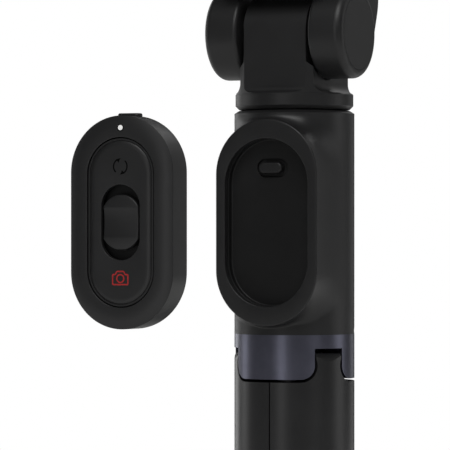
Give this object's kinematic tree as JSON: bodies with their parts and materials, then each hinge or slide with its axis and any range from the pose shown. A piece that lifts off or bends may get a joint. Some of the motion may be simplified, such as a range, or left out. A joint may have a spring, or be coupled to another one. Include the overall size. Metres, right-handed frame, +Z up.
{
  "type": "selfie stick",
  "caption": "Pocket selfie stick with folding tripod legs, telescopic pole, tilting phone clamp and a detachable obround remote that docks in the handle.",
  "frame": {"origin": "on the ground at the middle of the three folded feet, on the pole's axis", "axes": "+Z up along the pole, -Y out of the remote's bay, X along the head's tilt hinge"},
  "size_m": [0.0444, 0.1312, 0.253],
  "materials": {
    "black_plastic": "fine satin",
    "bay_plastic": "matt",
    "collar_paint": "dark blue-grey metallic, satin",
    "rubber": "matt",
    "steel": "plated",
    "tube_paint": "satin black",
    "nylon": "dull",
    "remote_plastic": "fine satin",
    "key_plastic": "fine satin",
    "inner_plastic": "plain",
    "board": "solder mask",
    "cell_steel": "polished",
    "led": "frosted lens"
  },
  "bodies": {
    "handle": {"body_shell": "black_plastic", "dock_tray": "bay_plastic", "catch_spring": "steel", "leg_collar": "collar_paint", "leg_pins": "steel", "collar_screws": "steel", "pole_tube_1": "tube_paint", "pole_bushes_1": "nylon", "base_plug": "nylon"},
    "catch": {"dock_catch": "bay_plastic"},
    "leg_1": {"leg_1": "black_plastic", "foot_1": "rubber"},
    "leg_2": {"leg_2": "black_plastic", "foot_2": "rubber"},
    "leg_3": {"leg_3": "black_plastic", "foot_3": "rubber"},
    "pole_2": {"pole_tube_2": "tube_paint", "pole_bushes_2": "nylon"},
    "pole_3": {"pole_tube_3": "tube_paint", "pole_bushes_3": "nylon"},
    "pole_4": {"pole_tube_4": "tube_paint", "pole_bushes_4": "nylon"},
    "pole_5": {"pole_tube_5": "tube_paint", "pole_bushes_5": "nylon"},
    "pole_6": {"pole_tube_6": "tube_paint", "pole_bushes_6": "nylon"},
    "neck": {"neck_block": "black_plastic"},
    "yoke": {"yoke": "black_plastic", "drum_caps": "black_plastic", "friction_washers": "nylon", "hinge_bolt": "steel", "hinge_nut": "steel"},
    "clamp": {"clamp_back": "black_plastic", "clamp_cover": "black_plastic", "cover_screws": "steel", "swivel_pin": "steel", "swivel_nut": "steel", "clamp_springs": "steel", "spring_pegs": "steel", "lower_pad": "rubber"},
    "upper_jaw": {"upper_jaw": "black_plastic", "upper_pad": "rubber"},
    "remote": {"remote_shell": "remote_plastic", "remote_face": "remote_plastic", "remote_back": "remote_plastic", "back_screws": "steel", "inner_frame": "inner_plastic", "circuit_board": "board", "key_switches": "inner_plastic", "zoom_switch": "inner_plastic", "coin_cell": "cell_steel", "led_lens": "led"},
    "key_panel": {"key_panel": "key_plastic"},
    "zoom_slider": {"zoom_slider": "key_plastic"},
    "power_button": {"power_button": "remote_plastic"}
  },
  "joints": [
    {"name": "catch_press", "type": "slide", "parent": "handle", "child": "catch", "axis": [0, 1, 0], "range_m": [0, 0.001], "stiffness_N_per_m": 400, "springref_m": -0.0005, "deforming": ["catch_spring"]},
    {"name": "leg_1_fold", "type": "hinge", "parent": "handle", "child": "leg_1", "pos_m": [0, 0.0139, 0.0728], "axis": [1, 0, 0], "range_deg": [0, 50]},
    {"name": "leg_2_fold", "type": "hinge", "parent": "handle", "child": "leg_2", "pos_m": [-0.01204, -0.00695, 0.0728], "axis": [-0.5, 0.866, 0], "range_deg": [0, 50]},
    {"name": "leg_3_fold", "type": "hinge", "parent": "handle", "child": "leg_3", "pos_m": [0.01204, -0.00695, 0.0728], "axis": [-0.5, -0.866, 0], "range_deg": [0, 50]},
    {"name": "pole_2_extend", "type": "slide", "parent": "handle", "child": "pole_2", "axis": [0, 0, 1], "range_m": [0, 0.096]},
    {"name": "pole_3_extend", "type": "slide", "parent": "pole_2", "child": "pole_3", "axis": [0, 0, 1], "range_m": [0, 0.096]},
    {"name": "pole_4_extend", "type": "slide", "parent": "pole_3", "child": "pole_4", "axis": [0, 0, 1], "range_m": [0, 0.096]},
    {"name": "pole_5_extend", "type": "slide", "parent": "pole_4", "child": "pole_5", "axis": [0, 0, 1], "range_m": [0, 0.096]},
    {"name": "pole_6_extend", "type": "slide", "parent": "pole_5", "child": "pole_6", "axis": [0, 0, 1], "range_m": [0, 0.096]},
    {"name": "head_pan", "type": "hinge", "parent": "pole_6", "child": "neck", "pos_m": [0, 0, 0.152], "axis": [0, 0, 1], "continuous": true},
    {"name": "head_tilt", "type": "hinge", "parent": "neck", "child": "yoke", "pos_m": [0, -0.0032, 0.1696], "axis": [1, 0, 0], "range_deg": [-90, 90]},
    {"name": "clamp_swivel", "type": "hinge", "parent": "yoke", "child": "clamp", "pos_m": [0, 0.0073, 0.219], "axis": [0, 1, 0], "range_deg": [-90, 90]},
    {"name": "jaw_open", "type": "slide", "parent": "clamp", "child": "upper_jaw", "axis": [0, 0, 1], "range_m": [0, 0.033], "stiffness_N_per_m": 80, "springref_m": -0.012, "deforming": ["clamp_springs"]},
    {"name": "remote_detach", "type": "slide", "parent": "handle", "child": "remote", "axis": [0, -1, 0], "range_m": [-0.0826, 0]},
    {"name": "key_rock", "type": "hinge", "parent": "remote", "child": "key_panel", "pos_m": [0, -0.1125, 0.1139], "axis": [1, 0, 0], "range_deg": [-1.5, 1.5], "stiffness_Nm_per_rad": 0.5},
    {"name": "zoom_slide", "type": "slide", "parent": "remote", "child": "zoom_slider", "axis": [0, 0, 1], "range_m": [-0.0022, 0.0022], "stiffness_N_per_m": 300},
    {"name": "power_press", "type": "slide", "parent": "remote", "child": "power_button", "axis": [0, 0, -1], "range_m": [0, 0.0005], "stiffness_N_per_m": 600, "springref_m": -0.0003}
  ]
}
